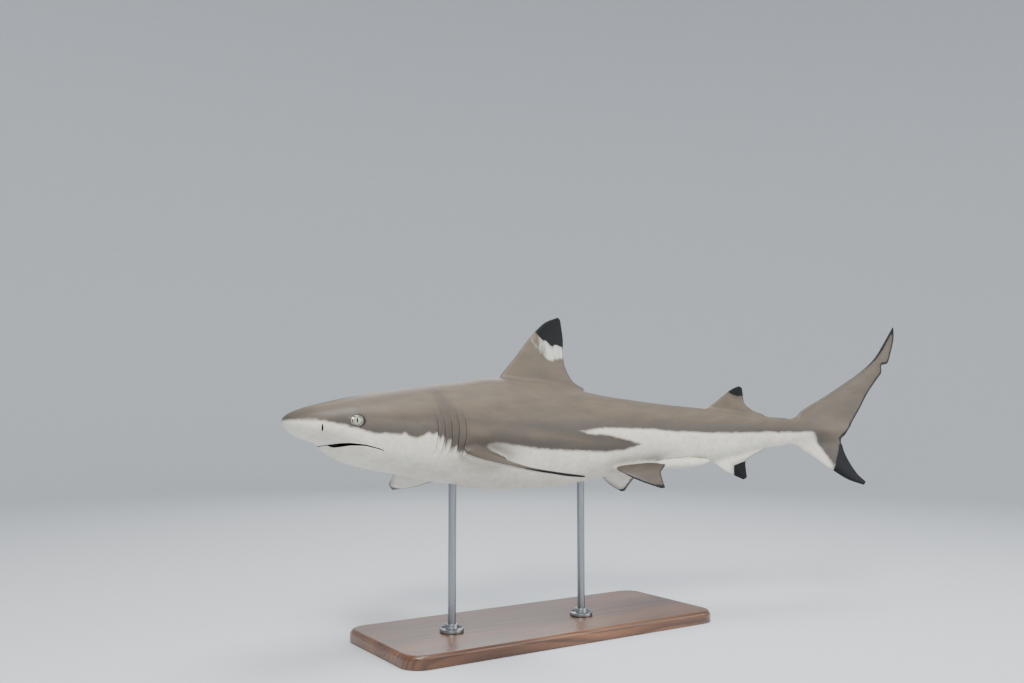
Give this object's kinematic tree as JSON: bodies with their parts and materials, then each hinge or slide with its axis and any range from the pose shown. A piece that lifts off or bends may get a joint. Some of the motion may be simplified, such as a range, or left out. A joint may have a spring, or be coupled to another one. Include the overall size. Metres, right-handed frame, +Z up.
{
  "type": "blacktip reef shark model on a display stand",
  "caption": "Still, life-size male blacktip reef shark, swimming with its body gently bent and banked, held over a flat wooden base by short steel rods.",
  "frame": {"origin": "middle of the base's flat underside", "axes": "+Z up; the head points to -X and the shark's left side to -Y"},
  "size_m": [1.2839, 0.5831, 0.5834],
  "materials": {
    "skin": "smooth wet shagreen, brown-grey over white, with black fin tips",
    "eye": "clear and glossy over a pale iris with a narrow dark pupil",
    "stand_wood": "dark walnut, satin lacquer",
    "stand_steel": "fine brushed"
  },
  "bodies": {
    "root": {"head": "skin", "lower_jaw": "skin", "gill_region": "skin", "trunk": "skin", "tail": "skin", "tail_stalk": "skin", "first_dorsal_fin": "skin", "second_dorsal_fin": "skin", "anal_fin": "skin", "tail_fin_upper_lobe": "skin", "tail_fin_lower_lobe": "skin", "pectoral_fin_left": "skin", "pectoral_fin_right": "skin", "pelvic_fin_left": "skin", "pelvic_fin_right": "skin", "clasper_left": "skin", "clasper_right": "skin", "eye_left": "eye", "eye_right": "eye", "stand_base": "stand_wood", "stand_rod_front": "stand_steel", "stand_rod_rear": "stand_steel", "stand_collar_front": "stand_steel", "stand_collar_rear": "stand_steel"}
  },
  "joints": []
}
